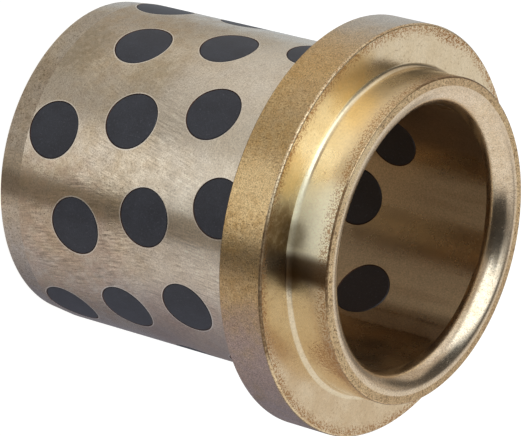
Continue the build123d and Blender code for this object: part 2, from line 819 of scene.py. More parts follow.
@dataclass
class TurnedBody:
    """The bronze body: its half section, turned, and drilled for the plugs."""

    pattern: Pattern
    bore_radius: float
    body_radius: float
    spigot_radius: float
    collar_radius: float
    taper_top: float
    collar_back: float
    collar_front: float
    spigot_front: float
    exit_bevel: float
    mouth_radius: float = 2.65 * MM
    spigot_edge: float = 0.2 * MM
    taper_drop: float = 0.35 * MM
    end_edge: float = 0.25 * MM
    collar_back_edge: float = 0.15 * MM
    collar_front_edge: float = 0.3 * MM
    root_radius: float = 0.65 * MM
    hole_edge: float = 0.09 * MM  # broken off the edge of each hole
    ring_width: float = 0.14 * MM  # painted pale round it, as a highlight
    ring_gap: float = 0.005 * MM  # left between a painted pale ring and the end of its cylinder
    sides: int = 240
    hole_sides: int = 64
    arc_steps: int = 12
    sheet_row: float = 1.3 * MM  # between the rows of points on a drilled cylinder
    edge_lean: float = 0.5  # how far a hole's rim is shaded as if it leant inwards
    cut_tolerance: float = 1e-7  # how near two points are one while the holes are cut
    weld: float = 1e-6  # the same while the patches are joined
    patches: list[Patch] = field(default_factory=list)

    @classmethod
    def from_frame(cls, pattern: Pattern) -> "TurnedBody":
        """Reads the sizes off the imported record's mounts and the body's box.

        Args:
            pattern: The plugs' pattern.

        Returns:
            The body, not yet built.
        """
        mounts = {m["name"]: m for m in frame["record"]["mounts"]}
        bore, bore_low, _ = span(mounts["bore"])
        body, body_low, body_high = span(mounts["body_outside"])
        spigot, _, _ = span(mounts["spigot"])
        low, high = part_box(BODY_NODE)
        return cls(
            pattern=pattern,
            bore_radius=bore,
            body_radius=body,
            spigot_radius=spigot,
            collar_radius=(high[0] - low[0]) / 2,
            taper_top=body_low,
            collar_back=body_high,
            collar_front=mounts["collar_front"]["pos_m"][2],
            spigot_front=high[2],
            exit_bevel=bore_low,
        )

    def build(self, finishes: dict[Skin, bpy.types.Material]) -> bpy.types.Object:
        """Makes the body as one closed mesh.

        Args:
            finishes: A material for each skin.

        Returns:
            The object.
        """
        self._turn_outside()
        self._turn_top_and_bore()
        self._sheet(self.body_radius, self.taper_top, self.collar_back, 1.0, Skin.GROUND)
        bore_top = self.spigot_front - self.mouth_radius
        self._sheet(self.bore_radius, self.exit_bevel, bore_top, -1.0, Skin.BORE)
        for hole in self.pattern.holes():
            self._line_hole(hole)
        return self._join(finishes)

    def _turn_outside(self) -> None:
        """The plain end, the taper and the collar, from the bore outwards and up."""
        rim = self.body_radius - self.taper_drop
        lean = self.taper_drop / self.taper_top
        edge, back, front = self.end_edge, self.collar_back_edge, self.collar_front_edge
        self._strip((self.bore_radius + self.exit_bevel, 0), (rim - edge, 0), Skin.PLAIN_END)
        start = (rim + lean * edge, edge)
        self._strip((rim - edge, 0), start, Skin.EDGE, rounded=((0, -1), (1, -lean)))
        self._strip(start, (self.body_radius, self.taper_top), Skin.TAPER)
        foot = (self.collar_radius - back, self.collar_back)
        self._strip((self.body_radius, self.collar_back), foot, Skin.COLLAR_BACK)
        start = (self.collar_radius, self.collar_back + back)
        self._strip(foot, start, Skin.BACK_EDGE, rounded=((0, -1), (1, 0)))
        end = (self.collar_radius, self.collar_front - front)
        self._strip(start, end, Skin.COLLAR_RIM)
        brow = (self.collar_radius - front, self.collar_front)
        self._strip(end, brow, Skin.EDGE, rounded=((1, 0), (0, 1)))
        root = self.spigot_radius + self.root_radius
        self._strip(brow, (root, self.collar_front), Skin.COLLAR_FACE)
        hollow = (root, self.collar_front + self.root_radius)
        self._arc(hollow, self.root_radius, (270, 180), -1, Skin.SPIGOT)

    def _turn_top_and_bore(self) -> None:
        """The spigot, the end face, the rounded mouth and the bevel at the bore's exit."""
        edge = self.spigot_edge
        top = self.spigot_front
        start = (self.spigot_radius, self.collar_front + self.root_radius)
        end = (self.spigot_radius, top - edge)
        self._strip(start, end, Skin.SPIGOT)
        brow = (self.spigot_radius - edge, top)
        self._strip(end, brow, Skin.SPIGOT_EDGE, rounded=((1, 0), (0, 1)))
        lip = self.bore_radius + self.mouth_radius
        self._strip(brow, (lip, top), Skin.END_FACE)
        nose = (lip, top - self.mouth_radius)
        self._arc(nose, self.mouth_radius, (90, 180), 1, Skin.MOUTH)
        bevel = self.exit_bevel
        self._strip((self.bore_radius, bevel), (self.bore_radius + bevel, 0), Skin.PLAIN_END)

    def _strip(
        self, start: Point, end: Point, skin: Skin, rounded: tuple[Point, Point] | None = None
    ) -> None:
        """Turns one straight line of the half section.

        Args:
            start: Radius and height at its start, with the metal on the left.
            end: The same at its end.
            skin: The skin that it belongs to.
            rounded: The ways that the skins before and after it face, for a broken edge.
        """
        rise, run = end[1] - start[1], end[0] - start[0]
        facing = rounded or ((rise, -run), (rise, -run))
        self._turn([start, end], facing, skin)

    def _arc(self, centre: Point, radius: float, sweep: Point, side: int, skin: Skin) -> None:
        """Turns one arc of the half section.

        Args:
            centre: Radius and height of its centre.
            radius: Its own radius.
            sweep: The angles that it starts and ends at, in degrees.
            side: 1 for a round nose and -1 for a hollow.
            skin: The skin that it belongs to.
        """
        angles = np.radians(np.linspace(*sweep, self.arc_steps + 1))
        rays = np.stack([np.cos(angles), np.sin(angles)], axis=1)
        self._turn(np.array(centre) + radius * rays, side * rays, skin)

    def _turn(
        self, outline: list | np.ndarray, facing: tuple | np.ndarray, skin: Skin
    ) -> None:
        """Turns points of the half section round the axis.

        Args:
            outline: Radius and height of each point.
            facing: The way that each faces in the half section.
            skin: The skin that they belong to.
        """
        outline, facing = np.array(outline, float), np.array(facing, float)
        facing /= np.linalg.norm(facing, axis=1, keepdims=True)
        rows, sides = len(outline), self.sides
        turn = np.tile(np.arange(sides) * 2 * math.pi / sides, rows)
        radius, height = np.repeat(outline, sides, axis=0).T
        out, up = np.repeat(facing, sides, axis=0).T
        points = np.stack([radius * np.cos(turn), radius * np.sin(turn), height], axis=1)
        normals = np.stack([out * np.cos(turn), out * np.sin(turn), up], axis=1)
        self.patches.append(Patch(points, normals, lattice(rows, sides), skin))

    def _outline(self, hole: Hole, reach: float, radius: float) -> tuple[np.ndarray, np.ndarray]:
        """Where a hole's edge lies on a cylinder.

        Args:
            hole: The hole.
            reach: The cylinder's radius.
            radius: The hole's radius there.

        Returns:
            The turn and the height of each point.
        """
        lap = np.arange(self.hole_sides) * 2 * math.pi / self.hole_sides
        turn = hole.angle + np.arcsin(radius * np.cos(lap) / reach)
        return turn, hole.height + radius * np.sin(lap)

    def _sheet(self, radius: float, low: float, high: float, side: float, skin: Skin) -> None:
        """A cylinder with the holes cut out, meshed on a flat ring so that it has no seam.

        Args:
            radius: The cylinder's radius.
            low: Its lower end.
            high: Its upper end.
            side: 1 if it faces outwards and -1 if it faces the axis.
            skin: The skin that it belongs to.
        """
        lap = np.arange(self.sides) * 2 * math.pi / self.sides
        open_radius = self.pattern.plug_radius + self.hole_edge
        loops = [(lap, np.full(self.sides, low)), (lap, np.full(self.sides, high))]
        for hole in self.pattern.holes():
            loops.append(self._outline(hole, radius, open_radius))
            turn, height = self._outline(hole, radius, open_radius + self.ring_width)
            loops.append((turn, np.clip(height, low + self.ring_gap, high - self.ring_gap)))
        tags = np.concatenate([np.full(len(turn), tag) for tag, (turn, _) in enumerate(loops)])
        starts = np.cumsum([0] + [len(turn) for turn, _ in loops[:-1]])
        edges = [
            (start + i, start + (i + 1) % len(turn))
            for start, (turn, _) in zip(starts.tolist(), loops)
            for i in range(len(turn))
        ]
        rows = np.arange(low, high, self.sheet_row)[1:]
        turn, height = (a.ravel() for a in np.meshgrid(lap, rows[rows < high - self.sheet_row / 2]))
        clear = np.full(len(turn), True)
        margin = open_radius + self.ring_width + self.sheet_row / 4
        for hole in self.pattern.holes():
            aside = (turn - hole.angle + math.pi) % (2 * math.pi) - math.pi
            clear &= (radius * aside) ** 2 + (height - hole.height) ** 2 > margin**2
        turn = np.concatenate([*(t for t, _ in loops), turn[clear]])
        height = np.concatenate([*(h for _, h in loops), height[clear]])
        tags = np.concatenate([tags, np.full(clear.sum(), -1)])
        flat = np.exp((height - low) / radius)
        spread = [Vector(p) for p in zip(flat * np.cos(turn), flat * np.sin(turn))]
        _, _, faces, origins, _, _ = delaunay_2d_cdt(spread, edges, [], 0, self.cut_tolerance)
        triangles = np.array([[origins[v][0] for v in face] for face in faces])
        corner_tags = tags[triangles]
        cut = (corner_tags[:, 0] % 2 == 0) & (corner_tags == corner_tags[:, :1]).all(axis=1)
        holes = corner_tags // 2
        ring = ~cut & (holes[:, 0] > 0) & (holes == holes[:, :1]).all(axis=1)
        round_x, round_y = np.cos(turn), np.sin(turn)
        points = np.stack([radius * round_x, radius * round_y, height], axis=1)
        normals = side * np.stack([round_x, round_y, 0 * turn], axis=1)
        self.patches.append(Patch(points, normals, triangles[~cut & ~ring], skin))
        ring_skin = Skin.HOLE_RING if skin is Skin.GROUND else skin
        self.patches.append(Patch(points, normals, triangles[ring], ring_skin))

    def _line_hole(self, hole: Hole) -> None:
        """The wall of one hole, with its edges broken at both ends.

        Args:
            hole: The hole.
        """
        plug, edge = self.pattern.plug_radius, self.hole_edge
        stations = (
            (self.body_radius, plug + edge),
            (self.body_radius - edge, plug),
            (self.bore_radius + edge, plug),
            (self.bore_radius, plug + edge),
        )
        axis = np.array([math.cos(hole.angle), math.sin(hole.angle), 0.0])
        rings = []
        for reach, radius in stations:
            turn, height = self._outline(hole, reach, radius)
            rings.append(np.stack([reach * np.cos(turn), reach * np.sin(turn), height], axis=1))
        lap = np.arange(self.hole_sides) * 2 * math.pi / self.hole_sides
        aside = np.array([-axis[1], axis[0], 0.0])
        inward = -(np.cos(lap)[:, None] * aside + np.sin(lap)[:, None] * np.array([0.0, 0.0, 1.0]))
        lean = self.edge_lean * inward
        for first, second, facing in (
            (0, 1, (lean + axis, inward + axis)),
            (1, 2, (inward, inward)),
            (2, 3, (inward - axis, lean - axis)),
        ):
            points = np.concatenate([rings[first], rings[second]])
            normals = np.concatenate(facing)
            normals /= np.linalg.norm(normals, axis=1, keepdims=True)
            wall = lattice(2, self.hole_sides)
            self.patches.append(Patch(points, normals, wall, Skin.HOLE_EDGE))

    def _join(self, finishes: dict[Skin, bpy.types.Material]) -> bpy.types.Object:
        """Welds the patches into one mesh that keeps the way each corner faces.

        Args:
            finishes: A material for each skin.

        Returns:
            The body's object.
        """
        starts = np.cumsum([0] + [len(p.points) for p in self.patches[:-1]])
        points = np.concatenate([p.points for p in self.patches])
        facing = np.concatenate([p.facing for p in self.patches])
        triangles = np.concatenate([p.triangles + s for p, s in zip(self.patches, starts)])
        skins = np.concatenate([np.full(len(p.triangles), p.skin) for p in self.patches])
        a, b, c = points[triangles].transpose(1, 0, 2)
        outward = facing[triangles].sum(axis=1)
        inverted = (np.cross(b - a, c - a) * outward).sum(axis=1) < 0
        triangles[inverted] = triangles[inverted][:, ::-1]

        mesh = bpy.data.meshes.new("bronze_body")
        mesh.from_pydata(points, [], triangles.tolist())
        for skin in Skin:
            mesh.materials.append(finishes[skin])
        mesh.polygons.foreach_set("material_index", skins)
        mesh.shade_smooth()
        layer = mesh.attributes.new("facing", "FLOAT_VECTOR", "CORNER")
        layer.data.foreach_set("vector", facing[triangles].ravel())
        work = bmesh.new()
        work.from_mesh(mesh)
        bmesh.ops.remove_doubles(work, verts=work.verts, dist=self.weld)
        work.to_mesh(mesh)
        work.free()
        corners = np.empty(len(mesh.loops) * 3, np.float32)
        mesh.attributes["facing"].data.foreach_get("vector", corners)
        mesh.attributes.remove(mesh.attributes["facing"])
        mesh.normals_split_custom_set(corners.reshape(-1, 3))
        body = bpy.data.objects.new("bronze_body", mesh)
        bpy.context.scene.collection.objects.link(body)
        return body


def span(mount: dict) -> tuple[float, float, float]:
    """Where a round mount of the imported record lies.

    Args:
        mount: The mount.

    Returns:
        Its radius, its low end and its high end.
    """
    half = mount["dims"]["length_mm"] * MM / 2
    middle = mount["pos_m"][2]
    return mount["dims"]["r_mm"] * MM, middle - half, middle + half


def lattice(rows: int, sides: int) -> np.ndarray:
    """Triangles between closed rows of points, each row after the one before it.

    Args:
        rows: How many rows there are.
        sides: How many points a row has.

    Returns:
        The three points of each triangle, by number.
    """
    row, side = (a.ravel() for a in np.meshgrid(np.arange(rows - 1), np.arange(sides)))
    a, b = row * sides + side, row * sides + (side + 1) % sides
    c, d = b + sides, a + sides
    return np.concatenate([np.stack([a, b, c], axis=1), np.stack([a, c, d], axis=1)])


# ---------------------------------------------------------------- the plugs


@dataclass
class PlugSet:
    """The graphite plugs, made by one Geometry Nodes tree that holds their pattern.

    A face that meets the next at more than the crease, in degrees, keeps its edge sharp.
    """

    pattern: Pattern
    body: TurnedBody
    edge: float = 0.09 * MM  # broken off both ends of each plug
    sides: int = 64
    cap_rings: int = 6  # rings of faces that each end is curved with
    crease: float = 30.0

    def build(self, graphite: bpy.types.Material) -> dict[str, bpy.types.Object]:
        """Makes every plug as a piece of its own.

        Args:
            graphite: The plugs' material.

        Returns:
            Each plug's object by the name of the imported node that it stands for.
        """
        tree = self._tree()
        items = tree.interface.items_tree
        identifiers = {item.name: item.identifier for item in items if item.in_out == "INPUT"}
        values = {
            "Plugs per ring": self.pattern.plugs_per_ring,
            "Rings": self.pattern.rings,
            "First ring": self.pattern.first_ring,
            "Ring pitch": self.pattern.ring_pitch,
            "Ring turn": self.pattern.ring_turn,
            "Plug radius": self.pattern.plug_radius,
            "Body radius": self.body.body_radius,
            "Bore radius": self.body.bore_radius,
            "Edge": self.edge,
            "Graphite": graphite,
        }
        plugs = {}
        for number in range(self.pattern.rings * self.pattern.plugs_per_ring):
            ring, place = divmod(number, self.pattern.plugs_per_ring)
            feeds = {identifiers[name]: value for name, value in values.items()}
            feeds[identifiers["Plug number"]] = number
            node = PLUG_NODE.format(ring=ring + 1, place=place + 1)
            plugs[node] = self._make(f"plug_{ring + 1}_{place + 1}", tree, feeds)
        return plugs

    def _make(self, name: str, tree: bpy.types.NodeTree, feeds: dict) -> bpy.types.Object:
        """Runs the tree once and keeps what it gives as a plain object.

        Args:
            name: The piece's name.
            tree: The Geometry Nodes tree.
            feeds: The value of each input, by its identifier.

        Returns:
            The object.
        """
        maker = bpy.data.objects.new("plug_maker", bpy.data.meshes.new("plug_maker"))
        modifier = maker.modifiers.new("plug pattern", "NODES")
        modifier.node_group = tree
        for identifier, value in feeds.items():
            modifier[identifier] = value
        bpy.context.scene.collection.objects.link(maker)
        depsgraph = bpy.context.evaluated_depsgraph_get()
        mesh = bpy.data.meshes.new_from_object(maker.evaluated_get(depsgraph))
        maker.modifiers.remove(modifier)
        bpy.data.objects.remove(maker)
        mesh.name = name
        mesh.shade_smooth()
        mesh.set_sharp_from_angle(angle=math.radians(self.crease))
        plug = bpy.data.objects.new(name, mesh)
        bpy.context.scene.collection.objects.link(plug)
        return plug

    def _tree(self) -> bpy.types.NodeTree:
        """The tree of the pattern, with its sizes as inputs.

        Returns:
            The tree.
        """
        inputs = sockets("Int", "Plug number", "Plugs per ring", "Rings")
        inputs |= sockets("Float", "Ring turn", "First ring", "Ring pitch")
        inputs |= sockets("Float", "Plug radius", "Body radius", "Bore radius", "Edge")
        inputs |= sockets("Material", "Graphite")
        return new_group("plug pattern", inputs, self._one_placed, "GeometryNodeTree")

    def _one_placed(self, bench: NodeBench, entry: Sockets) -> Feeds:
        """One turned plug, set on the point of the pattern whose number is asked for.

        Args:
            bench: The tree's bench.
            entry: What the tree is given.

        Returns:
            The plug's geometry.
        """
        plug = self._one_plug(bench, entry)
        index = bench.add("GeometryNodeInputIndex").outputs[0]
        ring = bench.sum("FLOOR", bench.sum("DIVIDE", index, entry["Plugs per ring"]))
        place = bench.sum("MODULO", index, entry["Plugs per ring"])
        step = bench.sum("DIVIDE", 2 * math.pi, entry["Plugs per ring"])
        turn = bench.sum("MULTIPLY", place, step)
        turn = bench.sum("MULTIPLY_ADD", ring, entry["Ring turn"], turn)
        height = bench.sum("MULTIPLY_ADD", ring, entry["Ring pitch"], entry["First ring"])
        seat = bench.add("ShaderNodeCombineXYZ", {2: height}).outputs[0]
        facing = bench.add("ShaderNodeCombineXYZ", {1: math.pi / 2, 2: turn}).outputs[0]
        count = bench.sum("MULTIPLY", entry["Plugs per ring"], entry["Rings"])
        points = bench.add("GeometryNodePoints", {"Count": count, "Position": seat})
        wanted = bench.sum("COMPARE", index, entry["Plug number"], 0.5)
        placed = bench.add(
            "GeometryNodeInstanceOnPoints",
            {"Points": points.outputs[0], "Selection": wanted, "Instance": plug,
             "Rotation": bench.add("FunctionNodeEulerToRotation", {0: facing}).outputs[0]},
        )
        solid = bench.add("GeometryNodeRealizeInstances", {0: placed.outputs[0]}).outputs[0]
        feeds = {"Geometry": solid, "Material": entry["Graphite"]}
        return {"Geometry": bench.add("GeometryNodeSetMaterial", feeds).outputs[0]}

    def _one_plug(self, bench: NodeBench, entry: Sockets) -> Socket:
        """A plug along +Z from the axis, its ends curved as the bore and the body are.

        Args:
            bench: The tree's bench.
            entry: What the tree is given.

        Returns:
            The plug's geometry.
        """
        rod = bench.add(
            "GeometryNodeMeshCylinder",
            {"Vertices": self.sides, "Side Segments": 1, "Fill Segments": self.cap_rings,
             "Radius": entry["Plug radius"], "Depth": 1.0},
            fill_type="TRIANGLE_FAN",
        ).outputs[0]
        at = bench.add("GeometryNodeInputPosition").outputs[0]
        parts = bench.add("ShaderNodeSeparateXYZ", {0: at}).outputs
        flat = bench.vector("MULTIPLY", at, (1.0, 1.0, 0.0))
        aside = bench.vector("LENGTH", flat, out="Value")
        share = bench.sum("DIVIDE", aside, entry["Plug radius"])
        rim = bench.sum("GREATER_THAN", share, 1 - 0.5 / self.cap_rings)
        land = bench.sum("SUBTRACT", 1.0, bench.sum("DIVIDE", entry["Edge"], entry["Plug radius"]))
        grown = bench.sum("MULTIPLY", land, self.cap_rings / (self.cap_rings - 1))
        scale = bench.sum("MULTIPLY_ADD", rim, bench.sum("SUBTRACT", 1.0, grown), grown)
        x, y = (bench.sum("MULTIPLY", parts[name], scale) for name in ("X", "Y"))
        top = bench.sum("GREATER_THAN", parts["Z"], 0.0)
        gap = bench.sum("SUBTRACT", entry["Body radius"], entry["Bore radius"])
        reach = bench.sum("MULTIPLY_ADD", top, gap, entry["Bore radius"])
        squares = (bench.sum("POWER", reach, 2.0), bench.sum("POWER", y, 2.0))
        square = bench.sum("SUBTRACT", *squares)
        side = bench.sum("MULTIPLY_ADD", top, -2.0, 1.0)
        sink = bench.sum("MULTIPLY", bench.sum("MULTIPLY", rim, side), entry["Edge"])
        z = bench.sum("ADD", bench.sum("SQRT", square), sink)
        shaped = bench.add("ShaderNodeCombineXYZ", {0: x, 1: y, 2: z}).outputs[0]
        feeds = {"Geometry": rod, "Position": shaped}
        return bench.add("GeometryNodeSetPosition", feeds).outputs[0]


# ---------------------------------------------------------------- the studio


@dataclass(frozen=True)
class Card:
    """A soft-edged card of the studio, lit or dark, on a sky far away.

    Attributes:
        name: What it stands for.
        azimuth: Where its middle is, in degrees, and so are all angles here.
        elevation: How high that is.
        turn: How far it is turned about its middle.
        width: How wide it looks.
        height: How high it looks.
        softness: The share of its half size that its edge fades over, inwards and outwards.
        light: What it sends out.
    """

    name: str
    azimuth: float
    elevation: float
    turn: float
    width: float
    height: float
    softness: float
    light: Colour


@dataclass
class Studio:
    """Floor, backdrop, cards and camera. The camera's angles are in degrees."""

    backdrop: Colour = (0.955, 0.955, 0.955)
    surround: Colour = (0.42, 0.41, 0.39)
    cards: tuple[Card, ...] = ()
    edge_on: float = 0.001  # the cosine up to which a direction misses a card's plane
    floor_size: float = 6.0
    floor_tone: Colour = (0.30, 0.30, 0.30)
    floor_glow: float = 0.9
    aim: tuple[float, float, float] = (-0.18 * MM, 2.34 * MM, 25.57 * MM)
    azimuth: float = 4.35
    elevation: float = 35.054
    roll: float = 104.94
    distance: float = 454.5 * MM
    lens: float = 259.2
    nearest: float = 10 * MM  # what the camera still sees

    def build(self) -> None:
        """Sets up everything round the bushing."""
        bpy.context.scene.view_settings.view_transform = "Standard"
        self._light()
        self._lay_floor()
        self._place_camera()

    def _card_mask(self, bench: NodeBench, entry: Sockets) -> Feeds:
        """The share of a direction that a flat card with soft edges covers.

        Args:
            bench: The group's bench.
            entry: What the group is given.

        Returns:
            The mask.
        """
        ahead = bench.vector("DOT_PRODUCT", entry["Direction"], entry["Facing"], out="Value")
        near = bench.sum("SUBTRACT", 1.0, entry["Softness"])
        far = bench.sum("ADD", 1.0, entry["Softness"])
        mask = bench.sum("GREATER_THAN", ahead, self.edge_on)
        for side, half in (("Across", "Half width"), ("Upward", "Half height")):
            offset = bench.vector("DOT_PRODUCT", entry["Direction"], entry[side], out="Value")
            offset = bench.sum("DIVIDE", offset, ahead)
            share = bench.sum("ABSOLUTE", bench.sum("DIVIDE", offset, entry[half]))
            mask = bench.sum("MULTIPLY", mask, bench.fade(share, near, far, down=True))
        return {"Mask": mask}

    def _sky(self, bench: NodeBench) -> Socket:
        """The sky of cards, each laid over those before it.

        Args:
            bench: The world's bench.

        Returns:
            The sky's colour.
        """
        inputs = sockets("Vector", "Direction", "Facing", "Across", "Upward")
        inputs |= sockets("Float", "Half width", "Half height", "Softness")
        group = new_group("studio card", inputs, self._card_mask)
        direction = bench.add("ShaderNodeTexCoord").outputs["Generated"]
        sky = self.surround
        for card in self.cards:
            facing = heading(card.azimuth, card.elevation)
            level = UP.cross(facing).normalized()
            swing = Matrix.Rotation(math.radians(card.turn), 3, facing)
            feeds = {
                "Direction": direction,
                "Facing": tuple(facing),
                "Across": tuple(swing @ level),
                "Upward": tuple(swing @ facing.cross(level)),
                "Half width": math.tan(math.radians(card.width / 2)),
                "Half height": math.tan(math.radians(card.height / 2)),
                "Softness": card.softness,
            }
            node = bench.add("ShaderNodeGroup", feeds, node_tree=group, label=card.name)
            sky = bench.blend(node.outputs[0], sky, card.light)
        return sky

    def _light(self) -> None:
        """The light of the sky. The camera sees a plain pale backdrop in its place."""
        world = bpy.data.worlds.new("studio")
        world.use_nodes = True
        bpy.context.scene.world = world
        world.node_tree.nodes.clear()
        bench = NodeBench(world.node_tree)
        glow = bench.add("ShaderNodeBackground", {"Color": self._sky(bench), "Strength": 1.0})
        plain = bench.add("ShaderNodeBackground", {"Color": self.backdrop, "Strength": 1.0})
        seen = bench.add("ShaderNodeLightPath").outputs["Is Camera Ray"]
        feeds = {0: seen, 1: glow.outputs[0], 2: plain.outputs[0]}
        mixed = bench.add("ShaderNodeMixShader", feeds)
        bench.add("ShaderNodeOutputWorld", {"Surface": mixed.outputs[0]})

    def _lay_floor(self) -> None:
        """A pale floor that takes a faint shadow and isn't mirrored in the metal."""
        half = self.floor_size / 2
        corners = [(-half, -half, 0), (half, -half, 0), (half, half, 0), (-half, half, 0)]
        mesh = bpy.data.meshes.new("floor")
        mesh.from_pydata(corners, [], [(0, 1, 2, 3)])
        material = bpy.data.materials.new("pale floor")
        material.use_nodes = True
        shader = material.node_tree.nodes["Principled BSDF"]
        for name, value in (
            ("Base Color", (*self.floor_tone, 1.0)),
            ("Roughness", 1.0),
            ("Specular IOR Level", 0.0),
            ("Emission Color", (1.0, 1.0, 1.0, 1.0)),
            ("Emission Strength", self.floor_glow),
        ):
            shader.inputs[name].default_value = value
        mesh.materials.append(material)
        floor = bpy.data.objects.new("floor", mesh)
        floor.visible_glossy = False
        floor.visible_shadow = False
        bpy.context.scene.collection.objects.link(floor)

    def _place_camera(self) -> None:
        """Looks down at the bushing, rolled so that its axis runs to the lower right."""
        back = heading(self.azimuth, self.elevation)
        right = UP.cross(back).normalized()
        upright = Matrix((right, back.cross(right), back)).transposed()
        turned = upright @ Matrix.Rotation(math.radians(self.roll), 3, "Z")
        data = bpy.data.cameras.new("camera")
        data.lens = self.lens
        data.clip_start = self.nearest
        camera = bpy.data.objects.new("camera", data)
        spot = Matrix.Translation(Vector(self.aim) + back * self.distance)
        camera.matrix_world = spot @ turned.to_4x4()
        bpy.context.scene.collection.objects.link(camera)
        bpy.context.scene.camera = camera


# ---------------------------------------------------------------- the bushing's finishes, with painted light and shade among them

UMBER = (118, 88, 58)
TAN = (214, 184, 146)
RUST = (166, 112, 50)
PALE = (250, 240, 222)
MAUVE_GREY = (208, 189, 184)
GROUND = BronzeFinish(
    name="ground bronze",
    tone=(230, 213, 187),
    shade=(203, 180, 148),
    bloom=(214, 203, 190),
    fleck=(108, 88, 64),
    roughness=0.22,
    cloud_size=1.8,
    cloud_amount=0.7,
    grain_size=0.2,
    grain_swing=1.2,
    fleck_level=0.56,
    fleck_amount=0.34,
    lay=Lay.ALONG,
    mark_pitch=0.25,
    mark_length=2.0,
    mark_depth=0.006,
    tarnish_and_painted_light=(
        TarnishAndPaintedLight(Band(Across.HEIGHT, 36, 6, 18), PALE, 0.6, 6, 0.3, 0.4),
        TarnishAndPaintedLight(Spot(42, 20, 8, 9, 9), (204, 174, 150), 0.55, 1.4, 0.48, 0.25),
        TarnishAndPaintedLight(Spot(-58, 20, 6, 8, 8), (190, 160, 118), 0.4, 1.2, 0.5, 0.2),
        TarnishAndPaintedLight(Spot(-34, 20, 4, 2, 7), (160, 144, 118), 0.75, 0.7, 0.34, 0.3),
        TarnishAndPaintedLight(Spot(-28, 20, 17, 1, 6), (172, 156, 126), 0.5, 0.7, 0.4, 0.25),
        TarnishAndPaintedLight(Spot(64, 20, 25, 1, 4), (150, 132, 130), 0.5, 0.5, 0.42, 0.2),
        TarnishAndPaintedLight(Spot(74, 20, 28, 8, 5), (176, 150, 136), 0.6, 2, 0.2, 0.5),
        # painted reflection: a darker streak along the body at 21.5 degrees
        TarnishAndPaintedLight(Streak(21.5, 2, 4), (168, 142, 104), 0.5, 2, 0.2, 0.5),
    ),
    scratches=(
        Scratches(Spot(2, 20, 21, 6, 5), -12, 1.3),
        Scratches(Spot(-26, 20, 11, 2, 4), -20, 0.8),
        Scratches(Spot(38, 20, 13, 7, 5), 12, 1.9),
        Scratches(Spot(42, 20, 28, 5, 5), -6, 1.3),
    ),
)
TAPERED = BronzeFinish(
    name="tapered lead-in",
    tone=(228, 211, 186),
    shade=(200, 177, 144),
    bloom=(208, 196, 182),
    fleck=(108, 88, 64),
    roughness=0.28,
    cloud_size=1.8,
    grain_size=0.2,
    grain_swing=1.6,
    fleck_level=0.56,
    fleck_amount=0.6,
    tarnish_and_painted_light=(
        TarnishAndPaintedLight(Spot(-4, 19.8, 2, 5, 7), UMBER, 0.3, 1.2, 0.42, 0.2),
        # painted highlight at 14 degrees and a painted dark reflection at 22.5 degrees, both
        # streaks along the taper
        TarnishAndPaintedLight(Streak(14, 1, 4), (230, 208, 178), 0.4, 2, 0.2, 0.5),
        TarnishAndPaintedLight(Streak(22.5, 2, 4), (156, 134, 108), 0.8, 2, 0.2, 0.5),
    ),
)
RIM = BronzeFinish(
    name="turned collar rim",
    tone=(222, 190, 138),
    shade=(200, 160, 102),
    bloom=(206, 180, 142),
    fleck=(96, 72, 44),
    roughness=0.26,
    cloud_size=0.9,
    grain_size=0.17,
    grain_swing=2.2,
    fleck_level=0.55,
    fleck_amount=0.55,
    lay=Lay.ALONG,
    mark_pitch=0.25,
    mark_length=2.0,
    mark_depth=0.008,
    tarnish_and_painted_light=(
        # painted reflections: grey sheens at 73 and -72 degrees, and a painted highlight at 2
        # degrees
        TarnishAndPaintedLight(Spot(73, 25, 41, 10, 11), MAUVE_GREY, 0.85, 2, 0.32, 0.35),
        TarnishAndPaintedLight(Spot(-72, 25, 41, 2, 15), (212, 208, 200), 0.9, 2, 0.2, 0.6),
        TarnishAndPaintedLight(Spot(50, 25, 41, 5, 4), (164, 138, 124), 0.4, 2, 0.3, 0.4),
        TarnishAndPaintedLight(Spot(-38, 25, 41, 1, 8), (196, 158, 104), 0.5, 2, 0.2, 0.6),
        TarnishAndPaintedLight(Spot(2, 25, 41, 2, 3), (250, 220, 166), 0.55, 2, 0.3, 0.4),
    ),
)
POLISHED = (231, 217, 188)
HONEY = (222, 202, 164)
CREAM = (226, 209, 178)
GOLD = (228, 196, 136)
FACE = BronzeFinish(
    name="faced collar",
    tone=POLISHED,
    shade=HONEY,
    bloom=CREAM,
    fleck=(160, 128, 90),
    roughness=0.2,
    tarnish_and_painted_light=(
        TarnishAndPaintedLight(Spot(92, 24.5, 44, 12, 8), TAN, 0.5, 6, 0.3, 0.4),
        # painted reflections: golden patches at -40 and -4 degrees
        TarnishAndPaintedLight(Spot(-40, 22.8, 44, 2, 4.4), GOLD, 0.9, 3, 0.1, 0.5),
        TarnishAndPaintedLight(Spot(-4, 23.4, 44, 1.5, 3), GOLD, 0.8, 3, 0.2, 0.4),
        TarnishAndPaintedLight(Spot(-90, 35, 44, 11, 2.6), RUST, 0.85, 0.19, 0.5, 0.08, dull=0.3),
        TarnishAndPaintedLight(Band(Across.RADIUS, 25, 0.4, 3), RUST, 0.85, 0.19, 0.5, 0.08, dull=0.3),
        # painted reflection: a dark wedge at 13 degrees, where the face mirrors a dark part of the
        # room
        TarnishAndPaintedLight(Spot(13, 22.4, 44, 1.8, 3.8), (112, 84, 46), 0.88, 0.9, 0.2, 0.4),
    ),
)
